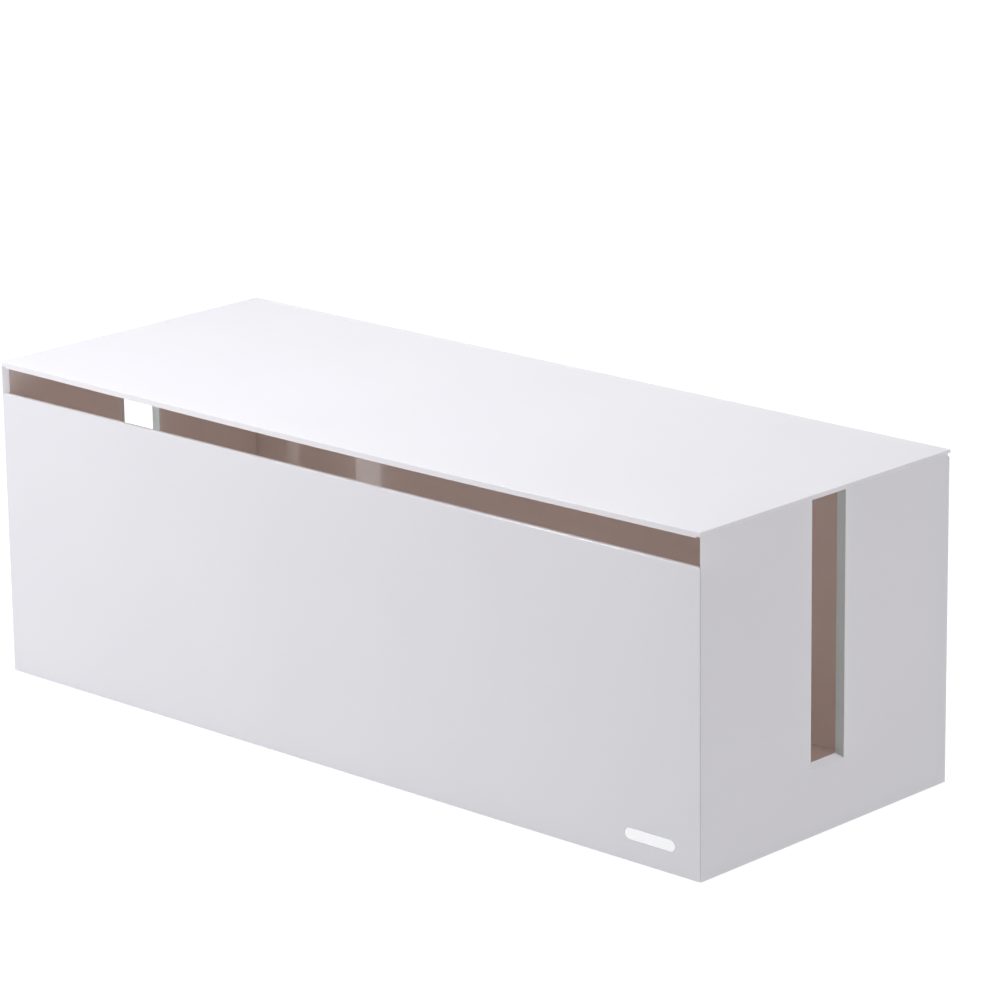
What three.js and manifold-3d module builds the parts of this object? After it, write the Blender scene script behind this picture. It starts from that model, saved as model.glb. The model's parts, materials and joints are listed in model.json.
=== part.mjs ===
// A long lidded box that hides a power strip and its cables on a desk or a floor.
// Millimetres, +Z up, +X to the right, the front faces -Y. The origin is on the surface that the box
// stands on, below the middle of the box.
//
// Five flat panels are bonded edge to edge: the front and the sides meet in mitred corners, and the
// back stands a little inside the rear edges. A slot in each side lets cables out, the front stops
// short of the lid, and the lid turns on a steel pin at each rear top corner.

import * as THREE from 'three';
import { mergeVertices } from 'three/addons/utils/BufferGeometryUtils.js';
import Module from 'manifold-3d';

const wasm = await Module();
wasm.setup();

// ---- Driving dimensions ---------------------------------------------------------------------

const BOX_WIDTH = 400;
const BOX_DEPTH = 154;
const BOX_HEIGHT = 141; // from the lower edge of the walls to the top of the lid
const FOOT_HEIGHT = 1.5;
const FOOT_RADIUS = 6;
const FOOT_INSET = 22; // from the outside of the box to the middle of a foot

const WALL = 2.2;
const LID_THICKNESS = 1.9;
const LID_CORNER = 0.4; // radius of the lid's corners, seen from above
const LID_LIP_DROP = 0.7; // how far the stiffening lip hangs below the lid, along its front edge
const LID_LIP_THICKNESS = 2;
const LID_TIP_CUT = 0.6; // the lid's rear edge is thinned from below by this much
const LID_TIP_DEPTH = 1.9;

const FRONT_GAP = 12.2; // open height between the front panel and the lid
const SEAM = 0.1; // bond line of the mitred corners
const CLEARANCE = 0.3; // between the lid's own features and the walls that they move past

const SLOT_WIDTH = 20.5;
const SLOT_SILL = 28; // from the lower edge of the wall to the outer edge of the slot's sill
const SLOT_SILL_RISE = 1.2; // the sill climbs this much on its way in
const FLANGE_DEPTH = 4.6; // from the outside of the wall to the inner edge of the slot's flange
const FLANGE_THICKNESS = 1.8;

const BACK_INSET = 2.4; // from the rear of the lid to the outside of the back panel
const BACK_TOP_GAP = 0.4; // between the back panel and the closed lid

const HINGE_INSET = 2.4; // from the rear of the lid to the hinge axis
const HINGE_DROP = 2.5; // from the underside of the lid to the hinge axis
const HINGE_REAR = 2.1; // from the axis back to the rear face of the side walls
const HINGE_SWING = 2.35; // the side walls' rear top corner stays within this radius of the axis
const KNUCKLE_RADIUS = 2.1;
const PIN_RADIUS = 1;
const PIN_LENGTH = 8.4;
const PIN_FIT = 0.1; // radial play round the pin
const SOCKET_DEPTH = 1.4; // blind, so that the outside of the wall stays plain
const KNUCKLE_WIDTH = 7;
const NOTCH_DEPTH = 5.8; // of the back panel's top corners, which make room for the knuckles
const NOTCH_PLAY = 0.9; // between a knuckle and the side of its notch

const BADGE_LENGTH = 26;
const BADGE_HEIGHT = 5;
const BADGE_DEPTH = 0.6;
const BADGE_FROM_RIGHT = 26; // from the right-hand edge to the middle of the badge
const BADGE_FROM_BOTTOM = 11.5;
const BADGE_PLAY = 0.1;

const ARC_SEGMENTS = 10;
const ROUND_SEGMENTS = 32;
const CUT_PAST = 2; // how far a cutting shape runs on beyond what it cuts

// ---- Places worked out from them ------------------------------------------------------------

const halfWidth = BOX_WIDTH / 2;
const frontY = -BOX_DEPTH / 2;
const rearY = BOX_DEPTH / 2;
const wallBottom = FOOT_HEIGHT;
const lidTop = FOOT_HEIGHT + BOX_HEIGHT;
const lidUnderside = lidTop - LID_THICKNESS;
const innerX = halfWidth - WALL;
const innerFrontY = frontY + WALL;
const backOuterY = rearY - BACK_INSET;
const backInnerY = backOuterY - WALL;
const floorTop = wallBottom + WALL;
const frontTop = lidUnderside - FRONT_GAP;
const hingeY = rearY - HINGE_INSET;
const hingeZ = lidUnderside - HINGE_DROP;
const sillOuterZ = wallBottom + SLOT_SILL;
const sillInnerZ = sillOuterZ + SLOT_SILL_RISE;
const flangeX = halfWidth - FLANGE_DEPTH;
const mitreSetback = SEAM / Math.SQRT2; // half the bond line, measured along either wall
const lidInnerX = innerX - CLEARANCE; // ends of the lip and outer ends of the knuckles

// ---- Materials ------------------------------------------------------------------------------

function plastic(color, roughness) {
  return new THREE.MeshStandardMaterial({ color, roughness, metalness: 0 });
}

const makeShellMaterial = () => plastic(0xe9e8ec, 0.18);
const makeLidMaterial = () => plastic(0xefeff3, 0.16);
const makeBadgeMaterial = () => plastic(0xf6f6f8, 0.35);
const makeRubberMaterial = () => plastic(0x2b2b2d, 0.85);
const makeSteelMaterial = () =>
  new THREE.MeshStandardMaterial({ color: 0xb9bcc0, roughness: 0.28, metalness: 1 });

// ---- Solids ---------------------------------------------------------------------------------

// A closed outline swept straight along one axis, between two heights on it.
// For Z the outline is given as (x, y), for Y as (x, z) and for X as (y, z).
function prism(outline, axis, from, to) {
  const shape = outline instanceof THREE.Shape ? outline : new THREE.Shape(outline);
  const geometry = new THREE.ExtrudeGeometry(shape, {
    depth: to - from,
    bevelEnabled: false,
    curveSegments: ARC_SEGMENTS,
  });
  if (axis === 'z') {
    geometry.translate(0, 0, from);
  } else if (axis === 'y') {
    geometry.rotateX(Math.PI / 2);
    geometry.translate(0, to, 0);
  } else {
    geometry.applyMatrix4(new THREE.Matrix4().set(0, 0, 1, from, 1, 0, 0, 0, 0, 1, 0, 0, 0, 0, 0, 1));
  }
  return geometry;
}

function block(x0, x1, y0, y1, z0, z1) {
  const geometry = new THREE.BoxGeometry(x1 - x0, y1 - y0, z1 - z0);
  geometry.translate((x0 + x1) / 2, (y0 + y1) / 2, (z0 + z1) / 2);
  return geometry;
}

// A round rod along X, with its middle on the hinge axis.
function rod(radius, x0, x1) {
  const geometry = new THREE.CylinderGeometry(radius, radius, x1 - x0, ROUND_SEGMENTS);
  geometry.rotateZ(Math.PI / 2);
  geometry.translate((x0 + x1) / 2, hingeY, hingeZ);
  return geometry;
}

function solid(geometry) {
  const bare = geometry.clone();
  bare.deleteAttribute('normal');
  bare.deleteAttribute('uv');
  const merged = mergeVertices(bare);
  return new wasm.Manifold(
    new wasm.Mesh({
      numProp: 3,
      vertProperties: new Float32Array(merged.attributes.position.array),
      triVerts: new Uint32Array(merged.index.array),
    }),
  );
}

function surface(manifold) {
  const cut = manifold.getMesh();
  const geometry = new THREE.BufferGeometry();
  geometry.setAttribute('position', new THREE.BufferAttribute(new Float32Array(cut.vertProperties), 3));
  geometry.setIndex(new THREE.BufferAttribute(new Uint32Array(cut.triVerts), 1));
  geometry.computeVertexNormals();
  return geometry;
}

function named(name, geometry, material) {
  const mesh = new THREE.Mesh(geometry, material);
  mesh.name = name;
  return mesh;
}

// The same outline on the other side of the box, still running anticlockwise.
function mirrored(points) {
  return points.map((point) => new THREE.Vector2(-point.x, point.y)).reverse();
}

// ---- Panels ---------------------------------------------------------------------------------

function badgeOutline(margin) {
  const radius = BADGE_HEIGHT / 2 + margin;
  const straight = (BADGE_LENGTH - BADGE_HEIGHT) / 2;
  const x = halfWidth - BADGE_FROM_RIGHT;
  const z = wallBottom + BADGE_FROM_BOTTOM;
  const outline = new THREE.Shape();
  outline.absarc(x + straight, z, radius, -Math.PI / 2, Math.PI / 2, false);
  outline.absarc(x - straight, z, radius, Math.PI / 2, (3 * Math.PI) / 2, false);
  return outline;
}

function makeFrontPanel() {
  const outerX = halfWidth - mitreSetback;
  const plan = [
    new THREE.Vector2(-outerX, frontY),
    new THREE.Vector2(outerX, frontY),
    new THREE.Vector2(outerX - WALL, innerFrontY),
    new THREE.Vector2(-outerX + WALL, innerFrontY),
  ];
  const panel = solid(prism(plan, 'z', wallBottom, frontTop));
  const pocket = solid(prism(badgeOutline(BADGE_PLAY), 'y', frontY - CUT_PAST, frontY + BADGE_DEPTH));
  return named('front_panel', surface(panel.subtract(pocket)), makeShellMaterial());
}

function makeBadge() {
  const inlay = prism(badgeOutline(0), 'y', frontY, frontY + BADGE_DEPTH - BADGE_PLAY);
  return named('badge', surface(solid(inlay)), makeBadgeMaterial());
}

// Seen from the side: square at the front, and rounded about the hinge axis at the rear top corner,
// so that the lid's rear edge can swing past it.
function sideProfile() {
  const outline = new THREE.Shape();
  const relief = HINGE_DROP - HINGE_SWING;
  const arcStart = Math.acos(HINGE_REAR / HINGE_SWING);
  outline.moveTo(frontY, wallBottom);
  outline.lineTo(hingeY + HINGE_REAR, wallBottom);
  outline.absarc(hingeY, hingeZ, HINGE_SWING, arcStart, Math.PI / 2, false);
  outline.lineTo(hingeY - relief, lidUnderside);
  outline.lineTo(frontY, lidUnderside);
  return outline;
}

// side is 1 for the right-hand wall and -1 for the left-hand one.
function makeSidePanel(name, side) {
  const spanX = (near, far) => [Math.min(side * near, side * far), Math.max(side * near, side * far)];
  const rightPlan = [
    new THREE.Vector2(halfWidth, frontY + mitreSetback),
    new THREE.Vector2(halfWidth, rearY),
    new THREE.Vector2(innerX, rearY),
    new THREE.Vector2(innerX, innerFrontY + mitreSetback),
  ];
  const plan = side > 0 ? rightPlan : mirrored(rightPlan);
  const profile = prism(sideProfile(), 'x', ...spanX(innerX, halfWidth));
  const wall = solid(prism(plan, 'z', wallBottom, lidUnderside)).intersect(solid(profile));

  // The flange stands inwards round the slot.
  const flangeHalf = SLOT_WIDTH / 2 + FLANGE_THICKNESS;
  const [flangeX0, flangeX1] = spanX(flangeX, halfWidth - WALL / 2);
  const flangeFoot = sillOuterZ - FLANGE_THICKNESS;
  const flange = solid(block(flangeX0, flangeX1, -flangeHalf, flangeHalf, flangeFoot, lidUnderside));

  // The slot is open at the top, and its sill slopes up on the way in.
  const slope = SLOT_SILL_RISE / FLANGE_DEPTH;
  const rightChannel = [
    new THREE.Vector2(flangeX - CUT_PAST, sillInnerZ + CUT_PAST * slope),
    new THREE.Vector2(halfWidth + CUT_PAST, sillOuterZ - CUT_PAST * slope),
    new THREE.Vector2(halfWidth + CUT_PAST, lidTop),
    new THREE.Vector2(flangeX - CUT_PAST, lidTop),
  ];
  const channel = side > 0 ? rightChannel : mirrored(rightChannel);
  const slot = solid(prism(channel, 'y', -SLOT_WIDTH / 2, SLOT_WIDTH / 2));

  const socket = solid(rod(PIN_RADIUS + PIN_FIT, ...spanX(innerX - CUT_PAST, innerX + SOCKET_DEPTH)));
  const body = wall.add(flange).subtract(slot).subtract(socket);
  return named(name, surface(body), makeShellMaterial());
}

// Full width between the side walls, with a notch at each top corner for the lid's knuckle.
function makeBackPanel() {
  const top = lidUnderside - BACK_TOP_GAP;
  const notchX = lidInnerX - KNUCKLE_WIDTH - NOTCH_PLAY;
  const notchZ = top - NOTCH_DEPTH;
  const outline = [
    new THREE.Vector2(-innerX, wallBottom),
    new THREE.Vector2(innerX, wallBottom),
    new THREE.Vector2(innerX, notchZ),
    new THREE.Vector2(notchX, notchZ),
    new THREE.Vector2(notchX, top),
    new THREE.Vector2(-notchX, top),
    new THREE.Vector2(-notchX, notchZ),
    new THREE.Vector2(-innerX, notchZ),
  ];
  return named('back_panel', prism(outline, 'y', backInnerY, backOuterY), makeShellMaterial());
}

function makeFloorPanel() {
  const floor = block(-innerX, innerX, innerFrontY, backInnerY, wallBottom, floorTop);
  return named('floor_panel', floor, makeShellMaterial());
}

// ---- Lid and hinge --------------------------------------------------------------------------

function roundedRectangle(x, y, radius) {
  const outline = new THREE.Shape();
  outline.absarc(x - radius, y - radius, radius, 0, Math.PI / 2, false);
  outline.absarc(-x + radius, y - radius, radius, Math.PI / 2, Math.PI, false);
  outline.absarc(-x + radius, -y + radius, radius, Math.PI, (3 * Math.PI) / 2, false);
  outline.absarc(x - radius, -y + radius, radius, (3 * Math.PI) / 2, 2 * Math.PI, false);
  return outline;
}

// Seen from the side: round about the hinge axis below, and as wide as that round up to the lid.
function knuckleProfile() {
  const outline = new THREE.Shape();
  outline.moveTo(hingeY - KNUCKLE_RADIUS, lidUnderside + LID_THICKNESS / 2);
  outline.lineTo(hingeY - KNUCKLE_RADIUS, hingeZ);
  outline.absarc(hingeY, hingeZ, KNUCKLE_RADIUS, Math.PI, 2 * Math.PI, false);
  outline.lineTo(hingeY + KNUCKLE_RADIUS, lidUnderside + LID_THICKNESS / 2);
  return outline;
}

function makeLid() {
  let lid = solid(prism(roundedRectangle(halfWidth, rearY, LID_CORNER), 'z', lidUnderside, lidTop));

  const tipY = rearY - LID_TIP_DEPTH;
  const tipX = halfWidth + CUT_PAST;
  const tipZ = lidUnderside + LID_TIP_CUT;
  lid = lid.subtract(solid(block(-tipX, tipX, tipY, rearY + CUT_PAST, lidUnderside - CUT_PAST, tipZ)));

  const lipTop = lidUnderside + LID_THICKNESS / 2;
  const lipRear = frontY + LID_LIP_THICKNESS;
  lid = lid.add(solid(block(-lidInnerX, lidInnerX, frontY, lipRear, lidUnderside - LID_LIP_DROP, lipTop)));

  for (const middleX of [KNUCKLE_WIDTH / 2 - lidInnerX, lidInnerX - KNUCKLE_WIDTH / 2]) {
    const x0 = middleX - KNUCKLE_WIDTH / 2;
    const x1 = middleX + KNUCKLE_WIDTH / 2;
    lid = lid.add(solid(prism(knuckleProfile(), 'x', x0, x1)));
    lid = lid.subtract(solid(rod(PIN_RADIUS + PIN_FIT, x0 - CUT_PAST, x1 + CUT_PAST)));
  }
  return named('lid', surface(lid), makeLidMaterial());
}

// The pin is pressed into its socket in the side wall and runs through the lid's knuckle.
function makeHingePin(name, side) {
  const pin = new THREE.CylinderGeometry(PIN_RADIUS, PIN_RADIUS, PIN_LENGTH, ROUND_SEGMENTS);
  pin.rotateZ(Math.PI / 2);
  const mesh = named(name, pin, makeSteelMaterial());
  const blindEnd = innerX + SOCKET_DEPTH - PIN_FIT;
  mesh.position.set(side * (blindEnd - PIN_LENGTH / 2), hingeY, hingeZ);
  return mesh;
}

// ---- Feet -----------------------------------------------------------------------------------

function makeFoot(name, sideX, sideY) {
  const edge = FOOT_HEIGHT / 3;
  const profile = [
    new THREE.Vector2(0, 0),
    new THREE.Vector2(FOOT_RADIUS - edge, 0),
    new THREE.Vector2(FOOT_RADIUS, edge),
    new THREE.Vector2(FOOT_RADIUS, FOOT_HEIGHT),
    new THREE.Vector2(0, FOOT_HEIGHT),
  ];
  const pad = new THREE.LatheGeometry(profile, ROUND_SEGMENTS);
  pad.rotateX(Math.PI / 2);
  const mesh = named(name, surface(solid(pad)), makeRubberMaterial());
  mesh.position.set(sideX * (halfWidth - FOOT_INSET), sideY * (rearY - FOOT_INSET), 0);
  return mesh;
}

// ---- The whole box --------------------------------------------------------------------------

const cableBox = new THREE.Group();
cableBox.add(makeFrontPanel());
cableBox.add(makeBackPanel());
cableBox.add(makeSidePanel('side_panel_left', -1));
cableBox.add(makeSidePanel('side_panel_right', 1));
cableBox.add(makeFloorPanel());
cableBox.add(makeBadge());
cableBox.add(makeLid());
cableBox.add(makeHingePin('hinge_pin_left', -1));
cableBox.add(makeHingePin('hinge_pin_right', 1));
for (const [depthWord, sideY] of [['front', -1], ['rear', 1]]) {
  for (const [widthWord, sideX] of [['left', -1], ['right', 1]]) {
    cableBox.add(makeFoot(`foot_${depthWord}_${widthWord}`, sideX, sideY));
  }
}

export default cableBox;
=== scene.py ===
"""Looks for the lidded cable box: a glossy white plastic box on a pale studio floor."""
import json
import math

import bmesh
import bpy
from mathutils import Matrix, Vector


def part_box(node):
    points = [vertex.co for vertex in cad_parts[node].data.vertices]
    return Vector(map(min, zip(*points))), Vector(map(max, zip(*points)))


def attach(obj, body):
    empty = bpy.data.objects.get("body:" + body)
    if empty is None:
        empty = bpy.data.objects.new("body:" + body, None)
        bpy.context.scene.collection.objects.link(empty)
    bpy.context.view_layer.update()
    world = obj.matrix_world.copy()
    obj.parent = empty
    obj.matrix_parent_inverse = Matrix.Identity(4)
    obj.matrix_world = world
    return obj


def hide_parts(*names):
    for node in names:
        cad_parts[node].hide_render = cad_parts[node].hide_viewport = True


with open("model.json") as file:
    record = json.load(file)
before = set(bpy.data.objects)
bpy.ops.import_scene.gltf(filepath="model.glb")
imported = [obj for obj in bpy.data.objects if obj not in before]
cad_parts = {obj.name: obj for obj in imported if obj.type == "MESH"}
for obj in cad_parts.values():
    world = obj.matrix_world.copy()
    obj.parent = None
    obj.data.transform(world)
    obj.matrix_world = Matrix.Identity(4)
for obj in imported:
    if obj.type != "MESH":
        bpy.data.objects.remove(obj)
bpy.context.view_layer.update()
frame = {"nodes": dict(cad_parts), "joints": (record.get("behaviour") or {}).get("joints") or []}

MM = 0.001

# ---- Camera: the photograph's viewing angle ---------------------------------------------------

CAMERA_AZIMUTH = math.radians(43.286)
CAMERA_ELEVATION = math.radians(16.188)
CAMERA_ROLL = math.radians(-0.78)
CAMERA_DISTANCE = 1.9177
CAMERA_AIM = Vector((0.02423, -0.00026, 0.10525))
CAMERA_LENS = 165.87
SENSOR_WIDTH = 36.0
CLIP_START = 0.05
CLIP_END = 60.0


def make_camera():
    data = bpy.data.cameras.new("camera")
    data.lens = CAMERA_LENS
    data.sensor_width = SENSOR_WIDTH
    data.clip_start = CLIP_START
    data.clip_end = CLIP_END
    camera = bpy.data.objects.new("camera", data)
    bpy.context.scene.collection.objects.link(camera)
    turn = Matrix.Rotation(CAMERA_AZIMUTH, 4, "Z")
    turn @= Matrix.Rotation(math.radians(90) - CAMERA_ELEVATION, 4, "X")
    back = turn @ Vector((0, 0, 1))
    turn @= Matrix.Rotation(CAMERA_ROLL, 4, "Z")
    camera.matrix_world = Matrix.Translation(CAMERA_AIM + back * CAMERA_DISTANCE) @ turn
    bpy.context.scene.camera = camera


make_camera()

# ---- Sizes read from the frame ----------------------------------------------------------------

LID_LOW, LID_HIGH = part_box("lid")
FRONT_LOW, FRONT_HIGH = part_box("front_panel")
_, BACK_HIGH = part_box("back_panel")
RIGHT_LOW, RIGHT_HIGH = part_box("side_panel_right")
HALF_WIDTH = LID_HIGH.x
INNER_X = BACK_HIGH.x  # the inner face of the right wall, where the back panel ends
FLANGE_X = RIGHT_LOW.x  # the inner edge of the right slot's flange
PLATE_LOW = RIGHT_HIGH.z  # the underside of the lid's plate, which rests on the side walls
HINGE = Vector(frame["joints"][0]["pos_m"])
NEAR = 0.05 * MM  # two places closer than this count as the same

# ---- Node material helpers --------------------------------------------------------------------


class Nodes:
    """A material's node tree, with short ways to add and join nodes."""

    def __init__(self, name):
        self.material = bpy.data.materials.new(name)
        self.material.use_nodes = True
        self.tree = self.material.node_tree
        self.tree.nodes.clear()
        self.shader = self.add("ShaderNodeBsdfPrincipled")
        self.output = self.add("ShaderNodeOutputMaterial")
        self.link(self.shader.outputs["BSDF"], self.output.inputs["Surface"])
        self.place = self.add("ShaderNodeTexCoord").outputs["Object"]

    def add(self, kind, **settings):
        node = self.tree.nodes.new(kind)
        for key, value in settings.items():
            setattr(node, key, value)
        return node

    def link(self, source, target):
        self.tree.links.new(source, target)

    def set(self, **values):
        for key, value in values.items():
            self.shader.inputs[key.replace("_", " ")].default_value = value

    def noise(self, size, detail=2.0, roughness=0.5, distortion=0.0, place=None):
        """Noise whose blobs are about this size, in metres."""
        node = self.add("ShaderNodeTexNoise")
        node.inputs["Scale"].default_value = 1.0 / size
        node.inputs["Detail"].default_value = detail
        node.inputs["Roughness"].default_value = roughness
        node.inputs["Distortion"].default_value = distortion
        self.link(place or self.place, node.inputs["Vector"])
        return node.outputs["Fac"]

    def stretched(self, x, y, z):
        node = self.add("ShaderNodeMapping")
        node.inputs["Scale"].default_value = (x, y, z)
        self.link(self.place, node.inputs["Vector"])
        return node.outputs["Vector"]

    def ramp(self, fac, *stops):
        """Stops are (position, colour or grey)."""
        node = self.add("ShaderNodeValToRGB")
        while len(node.color_ramp.elements) < len(stops):
            node.color_ramp.elements.new(0.5)
        for element, (position, value) in zip(node.color_ramp.elements, stops):
            element.position = position
            colour = value if isinstance(value, tuple) else (value, value, value)
            element.color = (*colour, 1.0)
        self.link(fac, node.inputs["Fac"])
        return node.outputs["Color"]

    def math(self, operation, a, b):
        node = self.add("ShaderNodeMath", operation=operation)
        for socket, value in zip(node.inputs, (a, b)):
            if isinstance(value, (int, float)):
                socket.default_value = value
            else:
                self.link(value, socket)
        return node.outputs["Value"]

    def let_light_through(self, share, tint):
        """This share of the light goes on through the surface instead of being scattered back."""
        thin = self.add("ShaderNodeBsdfTranslucent")
        thin.inputs["Color"].default_value = (*tint, 1.0)
        mix = self.add("ShaderNodeMixShader")
        mix.inputs["Fac"].default_value = share
        self.link(self.shader.outputs["BSDF"], mix.inputs[1])
        self.link(thin.outputs["BSDF"], mix.inputs[2])
        self.link(mix.outputs["Shader"], self.output.inputs["Surface"])

    def bump(self, height, distance, strength=1.0, below=None):
        node = self.add("ShaderNodeBump")
        node.inputs["Distance"].default_value = distance
        node.inputs["Strength"].default_value = strength
        self.link(height, node.inputs["Height"])
        if below is not None:
            self.link(below, node.inputs["Normal"])
        return node.outputs["Normal"]


# ---- Materials --------------------------------------------------------------------------------

# Each material's lighter and darker patches.
WHITE_LIGHT = (0.79, 0.812, 0.872)
WHITE_DARK = (0.775, 0.797, 0.857)
# The inner faces: a warmer copy of the same white plastic. The warm tone is painted light, added to the
# warm light that really comes through the walls.
INSIDE_LIGHT = (0.83, 0.80, 0.785)
INSIDE_DARK = (0.815, 0.785, 0.77)
# The slots' flange walls: a darker, cooler copy of the white plastic that lets most light through. The
# darkness is painted shade of the slot's recess.
FLANGE_LIGHT = (0.72, 0.77, 0.84)
FLANGE_DARK = (0.70, 0.75, 0.82)
# The slots' sills: a cooler copy of the white plastic that lets less light through, so it comes out
# lighter than the walls around it. This is painted light on the sills.
SILL_LIGHT = (0.765, 0.783, 0.84)
SILL_DARK = (0.75, 0.768, 0.825)
# The lid's underside: a darker, warmer copy of the inner plastic. The darkness and warmth are painted
# shade.
UNDER_LIGHT = (0.78, 0.755, 0.74)
UNDER_DARK = (0.765, 0.74, 0.725)
BADGE_LIGHT = (0.97, 0.97, 0.98)
BADGE_DARK = (0.95, 0.95, 0.97)
STEEL_LIGHT = (0.62, 0.63, 0.65)
STEEL_DARK = (0.42, 0.43, 0.45)
RUBBER_LIGHT = (0.045, 0.045, 0.047)
RUBBER_DARK = (0.018, 0.018, 0.019)

THROUGH_SHARE = 0.26  # how much of the light goes on through the plastic
WARM = (0.98, 0.83, 0.77)  # the tint of that light
PALE = (0.88, 1.0, 1.0)  # its tint at the slots' flanges

# Sizes of the marks in the surfaces, and heights of those that are bumps.
DRIFT = 90 * MM
SMEAR = 35 * MM
HAIRLINE = 4 * MM
HAIRLINE_STRETCH = (0.12, 1.0, 1.0)
WAVE = 60 * MM
WAVE_HEIGHT = 0.12 * MM
PEEL = 2.2 * MM
PEEL_HEIGHT = 0.006 * MM
WIRE_MARK = 0.4 * MM
WIRE_MARK_STRETCH = (0.05, 1.0, 1.0)
WIRE_MARK_HEIGHT = 0.01 * MM
BLOOM = 3 * MM
GRAIN = 0.6 * MM
GRAIN_HEIGHT = 0.03 * MM


def plastic(name, light, dark, roughness, specular=0.5, ior=1.53, through=THROUGH_SHARE, tint=WARM):
    """Glossy plastic that lets some light through, with hairline wear in the gloss and orange peel.

    Through is the share of the light that goes on through it, and tint is that light's colour.
    """
    n = Nodes(name)
    drift = n.ramp(n.noise(DRIFT, detail=3.0), (0.35, dark), (0.65, light))
    n.link(drift, n.shader.inputs["Base Color"])
    smears = n.noise(SMEAR, detail=6.0, roughness=0.6, distortion=0.6)
    hairlines = n.noise(HAIRLINE, detail=3.0, place=n.stretched(*HAIRLINE_STRETCH))
    wear = n.math("MULTIPLY", smears, hairlines)
    gloss = n.ramp(wear, (0.15, roughness * 0.8), (0.45, roughness * 1.35))
    n.link(gloss, n.shader.inputs["Roughness"])
    waves = n.bump(n.noise(WAVE, detail=1.0), WAVE_HEIGHT, 0.5)
    peel = n.bump(n.noise(PEEL, detail=2.0), PEEL_HEIGHT, 0.5, below=waves)
    n.link(peel, n.shader.inputs["Normal"])
    n.set(Specular_IOR_Level=specular, IOR=ior)
    if through:
        n.let_light_through(through, tint)
    return n.material


def steel(name):
    """Drawn wire: fine marks along the pin."""
    n = Nodes(name)
    marks = n.noise(WIRE_MARK, detail=4.0, place=n.stretched(*WIRE_MARK_STRETCH))
    colour = n.ramp(marks, (0.3, STEEL_DARK), (0.7, STEEL_LIGHT))
    n.link(colour, n.shader.inputs["Base Color"])
    n.link(n.ramp(marks, (0.3, 0.22), (0.7, 0.38)), n.shader.inputs["Roughness"])
    n.link(n.bump(marks, WIRE_MARK_HEIGHT, 0.6), n.shader.inputs["Normal"])
    n.set(Metallic=1.0)
    return n.material


def rubber(name):
    """Matt rubber with a powdery bloom."""
    n = Nodes(name)
    bloom = n.noise(BLOOM, detail=5.0, roughness=0.65)
    colour = n.ramp(bloom, (0.35, RUBBER_DARK), (0.7, RUBBER_LIGHT))
    n.link(colour, n.shader.inputs["Base Color"])
    n.link(n.ramp(bloom, (0.3, 0.72), (0.7, 0.9)), n.shader.inputs["Roughness"])
    n.link(n.bump(n.noise(GRAIN, detail=3.0), GRAIN_HEIGHT, 0.6), n.shader.inputs["Normal"])
    return n.material


shell_white = plastic("shell_white", WHITE_LIGHT, WHITE_DARK, roughness=0.13)
# Painted light: the inner faces are tinted warm, as the light inside the box is.
shell_inside = plastic("shell_inside", INSIDE_LIGHT, INSIDE_DARK, roughness=0.06, specular=1.0, ior=1.8)
# Painted shade: the flange walls in the slots are darker than the rest of the same plastic.
flange_painted_shade = plastic("flange_painted_shade", FLANGE_LIGHT, FLANGE_DARK, roughness=0.13, through=0.88, tint=PALE)
# Painted light: the sills in the slots come out lighter than the rest of the same plastic.
sill_painted_light = plastic("sill_painted_light", SILL_LIGHT, SILL_DARK, roughness=0.13, through=0.1)
lid_white = plastic("lid_white", WHITE_LIGHT, WHITE_DARK, roughness=0.12)
# Painted shade: the lid's underside is darker and warmer than the same plastic elsewhere.
lid_under = plastic("lid_under", UNDER_LIGHT, UNDER_DARK, roughness=0.34, specular=0.2)
badge_satin = plastic("badge_satin", BADGE_LIGHT, BADGE_DARK, roughness=0.3, through=0)
pin_steel = steel("pin_steel")
foot_rubber = rubber("foot_rubber")

# ---- Fine meshes made from the frame's solids -------------------------------------------------

# Rounding radii of the edges.
EDGE_HIDDEN = 0.05 * MM
EDGE_FINE = 0.12 * MM
EDGE_LOW = 0.25 * MM
EDGE_SOFT = 0.45 * MM
EDGE_SLOT = 0.3 * MM
EDGE_REAR = 0.8 * MM
BEVEL_SEGMENTS = 4

WELD = 0.002 * MM
FLAT_ANGLE = math.radians(0.5)  # triangles that meet at less than this are one flat face
SHARP_ANGLE = math.radians(15)  # edges below this belong to a round stretch and stay as they are
FACING = 0.9  # a face looks along an axis when its normal has more than this of it

# The places of a panel's materials in its list.
OUTSIDE, INSIDE, FLANGE, SILL = range(4)


def solid_of(node):
    """The node's solid as a bmesh of whole flat faces, not triangles."""
    bm = bmesh.new()
    bm.from_mesh(frame["nodes"][node].data)
    bmesh.ops.remove_doubles(bm, verts=bm.verts, dist=WELD)
    bmesh.ops.dissolve_limit(bm, angle_limit=FLAT_ANGLE, verts=bm.verts, edges=bm.edges)
    return bm


def is_near(value, *targets):
    return any(abs(value - target) < NEAR for target in targets)


def weigh_edges(bm, radius_of):
    """Stores each edge's rounding radius as a bevel weight, and returns the largest radius."""
    radii = {}
    for edge in bm.edges:
        flat = len(edge.link_faces) == 2 and edge.calc_face_angle() < SHARP_ANGLE
        radii[edge.index] = 0.0 if flat else radius_of(edge)
    largest = max(radii.values())
    layer = bm.edges.layers.float.new("bevel_weight_edge")
    for edge in bm.edges:
        edge[layer] = radii[edge.index] / largest
    return largest


def paint(bm, place_of):
    """Every face takes the material slot that place_of gives for it."""
    for face in bm.faces:
        face.material_index = place_of(face)
        face.smooth = True


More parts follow.
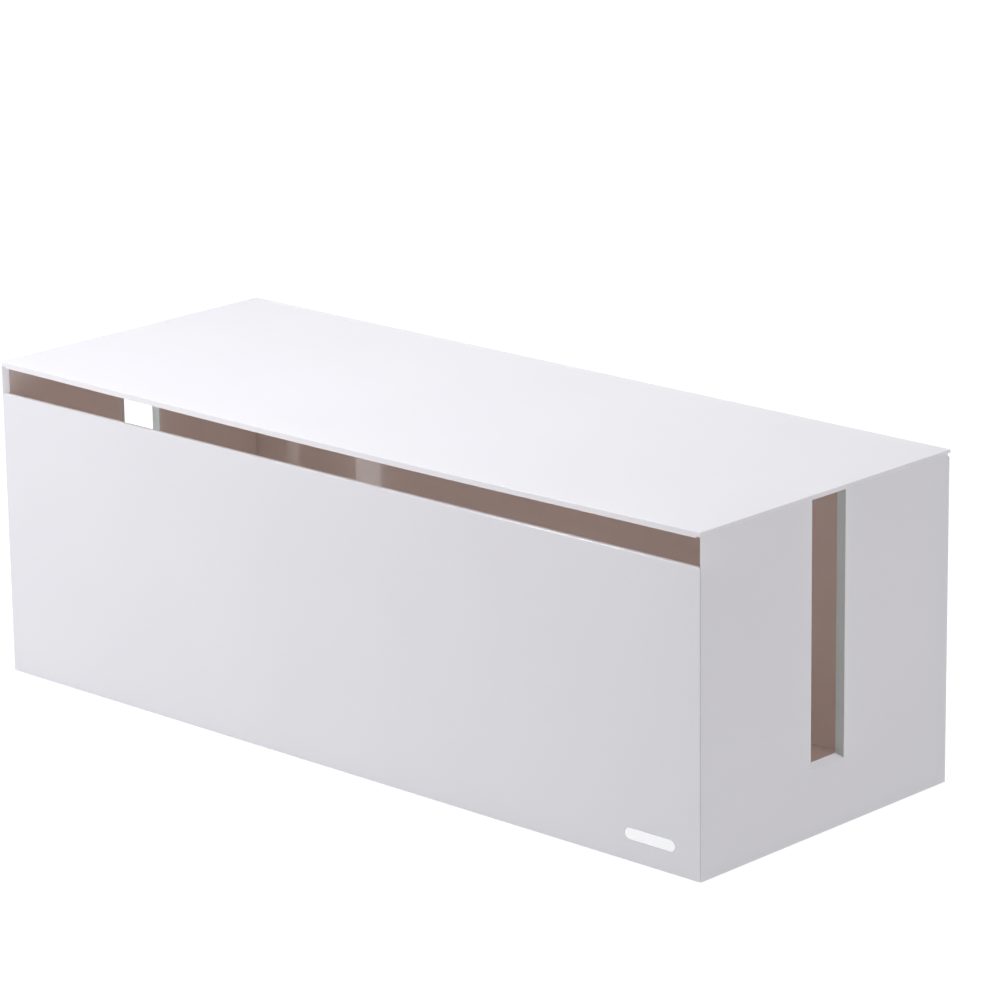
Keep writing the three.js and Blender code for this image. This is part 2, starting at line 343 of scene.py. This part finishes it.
def piece_from(bm, name, materials, largest=0.0):
    """An object made of the mesh, with its weighted edges rounded when a largest radius is given."""
    mesh = bpy.data.meshes.new(name)
    bm.to_mesh(mesh)
    bm.free()
    for material in materials:
        mesh.materials.append(material)
    piece = bpy.data.objects.new(name, mesh)
    bpy.context.scene.collection.objects.link(piece)
    if largest:
        bevel = piece.modifiers.new("rounded_edges", "BEVEL")
        bevel.limit_method = "WEIGHT"
        bevel.width = largest
        bevel.segments = BEVEL_SEGMENTS
        bevel.use_clamp_overlap = False
        bevel.harden_normals = False
    shading = piece.modifiers.new("shading", "WEIGHTED_NORMAL")
    shading.keep_sharp = False
    shading.weight = 100
    return piece


def stand_in(piece, node, body):
    """The piece shows in place of the node, and moves with the body."""
    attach(piece, body)
    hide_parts(node)


# ---- Front panel ------------------------------------------------------------------------------


def make_front_panel():
    bm = solid_of("front_panel")

    def radius_of(edge):
        a, b = edge.verts[0].co, edge.verts[1].co
        on_face = is_near(a.y, FRONT_LOW.y) and is_near(b.y, FRONT_LOW.y)
        along_top = is_near(a.z, FRONT_HIGH.z) and is_near(b.z, FRONT_HIGH.z)
        if along_top:
            return EDGE_SOFT
        if on_face and is_near(a.z, FRONT_LOW.z) and is_near(b.z, FRONT_LOW.z):
            return EDGE_LOW
        return EDGE_FINE

    bm.edges.index_update()
    largest = weigh_edges(bm, radius_of)
    paint(bm, lambda face: INSIDE if face.normal.y > FACING else OUTSIDE)
    piece = piece_from(bm, "front_skin", [shell_white, shell_inside], largest)
    stand_in(piece, "front_panel", "box")


# ---- Side panels ------------------------------------------------------------------------------

SLOT_HALF = 10.25 * MM  # half the width of a slot, which is in the middle of its wall


def make_side_panel(side_name, side):
    node = "side_panel_" + side_name
    bm = solid_of(node)

    def on_outside(point):
        return is_near(side * point.x, HALF_WIDTH)

    def in_slot(point):
        return abs(point.y) < SLOT_HALF + NEAR

    def radius_of(edge):
        a, b = edge.verts[0].co, edge.verts[1].co
        outside = on_outside(a) and on_outside(b)
        inner_lip = is_near(side * a.x, FLANGE_X) and is_near(side * b.x, FLANGE_X)
        if in_slot(a) and in_slot(b) and outside:
            return EDGE_SLOT
        if in_slot(a) and in_slot(b) and inner_lip:
            return EDGE_SOFT
        if outside and min(a.y, b.y) > HINGE.y - NEAR:
            return EDGE_REAR
        if outside and is_near(a.z, RIGHT_HIGH.z) and is_near(b.z, RIGHT_HIGH.z):
            return EDGE_HIDDEN
        return EDGE_FINE

    bm.edges.index_update()
    largest = weigh_edges(bm, radius_of)

    def place_of(face):
        middle = face.calc_center_median()
        # Flange walls in the slots take the darker copy of the plastic, which is painted shade.
        if in_slot(middle) and abs(face.normal.y) > FACING:
            return FLANGE
        # Sills take the lighter copy of the plastic, which is painted light.
        if in_slot(middle) and face.normal.z > FACING:
            return SILL
        if side * middle.x < INNER_X + NEAR:
            return INSIDE
        return OUTSIDE

    paint(bm, place_of)
    materials = [shell_white, shell_inside, flange_painted_shade, sill_painted_light]
    piece = piece_from(bm, "side_skin_" + side_name, materials, largest)
    stand_in(piece, node, "box")


# ---- Back and floor panels --------------------------------------------------------------------


def make_plain_panel(node, name, is_inside):
    bm = solid_of(node)
    bm.edges.index_update()
    largest = weigh_edges(bm, lambda edge: EDGE_HIDDEN)
    paint(bm, lambda face: INSIDE if is_inside(face) else OUTSIDE)
    piece = piece_from(bm, name, [shell_white, shell_inside], largest)
    stand_in(piece, node, "box")


# ---- Lid --------------------------------------------------------------------------------------

LID_SAG = 1.2 * MM
SAG_POWER_ACROSS = 1.5
SAG_POWER_FORWARD = 1.3
LID_CELL = 8 * MM  # the lid is cut into cells of this size, so that it can bend


def lid_sag(x, y):
    """How far the thin lid hangs down: most at the middle of its free front edge."""
    across = max(0.0, 1.0 - (x / HALF_WIDTH) ** 2) ** SAG_POWER_ACROSS
    forward = (HINGE.y - y) / (HINGE.y - LID_LOW.y)
    return LID_SAG * across * max(0.0, forward) ** SAG_POWER_FORWARD


def make_lid():
    bm = solid_of("lid")

    def radius_of(edge):
        a, b = edge.verts[0].co, edge.verts[1].co
        on_top = is_near(a.z, LID_HIGH.z) and is_near(b.z, LID_HIGH.z)
        at_front = is_near(a.y, LID_LOW.y) and is_near(b.y, LID_LOW.y)
        if on_top:
            return EDGE_LOW
        if at_front and max(a.z, b.z) < PLATE_LOW - NEAR:
            return EDGE_LOW
        return EDGE_HIDDEN

    bm.edges.index_update()
    largest = weigh_edges(bm, radius_of)
    paint(bm, lambda face: OUTSIDE)
    draft = piece_from(bm, "lid_skin", [lid_white, lid_under], largest)
    draft.modifiers.remove(draft.modifiers["shading"])
    bpy.context.view_layer.update()
    depsgraph = bpy.context.evaluated_depsgraph_get()
    rounded = bpy.data.meshes.new_from_object(draft.evaluated_get(depsgraph))
    bpy.data.objects.remove(draft)

    bm = bmesh.new()
    bm.from_mesh(rounded)
    for axis, low, high in ((0, LID_LOW.x, LID_HIGH.x), (1, LID_LOW.y, LID_HIGH.y)):
        count = round((high - low) / LID_CELL)
        normal = Vector((0, 0, 0))
        normal[axis] = 1
        for k in range(1, count):
            place = normal * (low + (high - low) * k / count)
            parts = bm.verts[:] + bm.edges[:] + bm.faces[:]
            bmesh.ops.bisect_plane(bm, geom=parts, plane_co=place, plane_no=normal)
    for vert in bm.verts:
        vert.co.z -= lid_sag(vert.co.x, vert.co.y)
    for face in bm.faces:
        face.smooth = True
        # The underside takes the darker copy of the plastic, which is painted shade.
        face.material_index = INSIDE if face.normal.z < -FACING else OUTSIDE
    piece = piece_from(bm, "lid_skin", [lid_white, lid_under])
    stand_in(piece, "lid", "lid")


# ---- Badge, pins and feet ---------------------------------------------------------------------

PIN_STEPS = 40
PIN_RIM = 0.2 * MM
FOOT_STEPS = 64
FOOT_RIM = 0.4 * MM
FOOT_TOP_RIM = 0.15 * MM
FOOT_GROOVE = 0.25 * MM  # depth of the ring grooves in a foot's tread
FOOT_GROOVES = 4
FOOT_GROOVE_STEP = 0.16  # from one groove to the next, as a share of the foot's radius


def make_badge():
    bm = solid_of("badge")
    bm.edges.index_update()
    largest = weigh_edges(bm, lambda edge: EDGE_FINE)
    paint(bm, lambda face: OUTSIDE)
    piece = piece_from(bm, "blank_badge", [badge_satin], largest)
    stand_in(piece, "badge", "box")


def lathe(profile, steps, turn):
    """A closed body of revolution: profile is (radius, height) from axis to axis."""
    bm = bmesh.new()
    rings = []
    for radius, height in profile:
        if radius == 0:
            rings.append([bm.verts.new(turn @ Vector((0, 0, height)))])
            continue
        ring = []
        for k in range(steps):
            angle = 2 * math.pi * k / steps
            point = Vector((radius * math.cos(angle), radius * math.sin(angle), height))
            ring.append(bm.verts.new(turn @ point))
        rings.append(ring)
    for low, high in zip(rings, rings[1:]):
        for k in range(steps):
            after = (k + 1) % steps
            if len(low) == 1:
                bm.faces.new((low[0], high[after], high[k]))
            elif len(high) == 1:
                bm.faces.new((low[k], low[after], high[0]))
            else:
                bm.faces.new((low[k], low[after], high[after], high[k]))
    bmesh.ops.recalc_face_normals(bm, faces=bm.faces)
    for face in bm.faces:
        face.smooth = True
    return bm


def rounded_corner(radius, height, rim, direction, steps=5):
    """Points of a rounded rim, from the flat end (direction -1 below, 1 above)."""
    points = []
    for k in range(steps + 1):
        angle = math.pi / 2 * k / steps
        out = radius - rim + rim * math.sin(angle)
        up = height + direction * (rim * math.cos(angle) - rim)
        points.append((out, up))
    return points


def make_pin(side_name):
    node = "hinge_pin_" + side_name
    low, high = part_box(node)
    radius = (high.z - low.z) / 2
    length = high.x - low.x
    profile = [(0, 0)]
    profile += rounded_corner(radius, 0, PIN_RIM, -1)
    profile += reversed(rounded_corner(radius, length, PIN_RIM, 1))
    profile += [(0, length)]
    turn = Matrix.Translation((low.x, HINGE.y, HINGE.z)) @ Matrix.Rotation(math.radians(90), 4, "Y")
    piece = piece_from(lathe(profile, PIN_STEPS, turn), "pin_" + side_name, [pin_steel])
    stand_in(piece, node, "box")


def make_foot(node):
    low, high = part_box(node)
    radius = (high.x - low.x) / 2
    height = high.z - low.z
    profile = [(0, 0)]
    for k in range(1, FOOT_GROOVES + 1):
        groove_radius = radius * FOOT_GROOVE_STEP * k
        for across, depth in ((-2, 0), (-1, FOOT_GROOVE), (1, FOOT_GROOVE), (2, 0)):
            profile.append((groove_radius + across * FOOT_GROOVE, depth))
    profile += rounded_corner(radius, 0, FOOT_RIM, -1)
    profile += reversed(rounded_corner(radius, height, FOOT_TOP_RIM, 1))
    profile += [(0, height)]
    middle = (low + high) / 2
    turn = Matrix.Translation((middle.x, middle.y, low.z))
    name = node.replace("foot", "pad")
    piece = piece_from(lathe(profile, FOOT_STEPS, turn), name, [foot_rubber])
    stand_in(piece, node, "box")


make_front_panel()
make_side_panel("left", -1)
make_side_panel("right", 1)
make_plain_panel("back_panel", "back_skin", lambda face: face.normal.y < -FACING)
make_plain_panel("floor_panel", "floor_skin", lambda face: face.normal.z > FACING)
make_lid()
make_badge()
make_pin("left")
make_pin("right")
for front_or_rear in ("front", "rear"):
    for left_or_right in ("left", "right"):
        make_foot("foot_" + front_or_rear + "_" + left_or_right)

# ---- Studio -----------------------------------------------------------------------------------

FLOOR_HALF = 9.0
FLOOR_CELLS = 24
FLOOR_GLOW = 0.91  # the floor's own light, which keeps the paper white everywhere
FLOOR_PATCH = 0.5  # size of the patches where the paper's grey drifts
SUN_DISTANCE = 3.0
WHITE = (1, 1, 1)
COOL = (0.96, 1.0, 1.03)


def make_floor():
    bm = bmesh.new()
    bmesh.ops.create_grid(bm, x_segments=FLOOR_CELLS, y_segments=FLOOR_CELLS, size=FLOOR_HALF)
    mesh = bpy.data.meshes.new("studio_floor")
    bm.to_mesh(mesh)
    bm.free()
    floor = bpy.data.objects.new("studio_floor", mesh)
    bpy.context.scene.collection.objects.link(floor)
    n = Nodes("floor_paper")
    grey = n.ramp(n.noise(FLOOR_PATCH), (0.3, 0.17), (0.7, 0.19))
    n.link(grey, n.shader.inputs["Base Color"])
    n.set(Roughness=0.9, Specular_IOR_Level=0.1)
    n.set(Emission_Color=(*WHITE, 1), Emission_Strength=FLOOR_GLOW)
    mesh.materials.append(n.material)


def place_light(data, azimuth, elevation, distance, aim):
    """Puts a light so that it shines at aim.

    Azimuth and elevation are in degrees. Azimuth 0 is in front of the box, and positive is right.
    """
    light = bpy.data.objects.new(data.name, data)
    bpy.context.scene.collection.objects.link(light)
    a, e = math.radians(azimuth), math.radians(elevation)
    back = Vector((math.sin(a) * math.cos(e), -math.cos(a) * math.cos(e), math.sin(e)))
    light.location = Vector(aim) + back * distance
    light.rotation_mode = "QUATERNION"
    light.rotation_quaternion = back.to_track_quat("Z", "Y")


def make_light(name, azimuth, elevation, distance, size, power, aim, colour=WHITE):
    """A soft rectangular light. Size is its width and height, and power is in watts."""
    data = bpy.data.lights.new(name, "AREA")
    data.shape = "RECTANGLE"
    data.size, data.size_y = size
    data.energy = power
    data.color = colour
    place_light(data, azimuth, elevation, distance, aim)


def make_sun(name, azimuth, elevation, strength, spread):
    """An even soft light from far away. Spread is the angle that the source fills, in degrees."""
    data = bpy.data.lights.new(name, "SUN")
    data.energy = strength
    data.angle = math.radians(spread)
    place_light(data, azimuth, elevation, SUN_DISTANCE, (0, 0, 0))


def make_world(strength):
    world = bpy.data.worlds.new("studio")
    world.use_nodes = True
    background = world.node_tree.nodes["Background"]
    background.inputs["Color"].default_value = (*WHITE, 1)
    background.inputs["Strength"].default_value = strength
    bpy.context.scene.world = world


make_floor()
make_world(0.2)
make_sun("sky_right", 90, 72, strength=1.82, spread=30)

# The key strip stands before the left end of the box: the front panel darkens towards the right,
# and some of the light falls through the left slot. The numbers after a light's name are its
# azimuth, elevation and distance, its size and its power.
make_light("key_strip", -18, 15, 0.75, (0.07, 0.44), 2.6, aim=(-0.2, 0, 0.1))
make_light("over_middle", -10, 83, 0.6, (0.3, 0.3), 1.42, aim=(0, -0.05, 0.14), colour=COOL)
make_light("over_left", -60, 60, 0.6, (0.3, 0.3), 1.25, aim=(-0.05, 0, 0.14), colour=COOL)
make_light("back_left", -137, 18, 2.0, (1.2, 1.2), 3.4, aim=(0, 0, 0.14))

bpy.context.scene.view_settings.view_transform = "Standard"
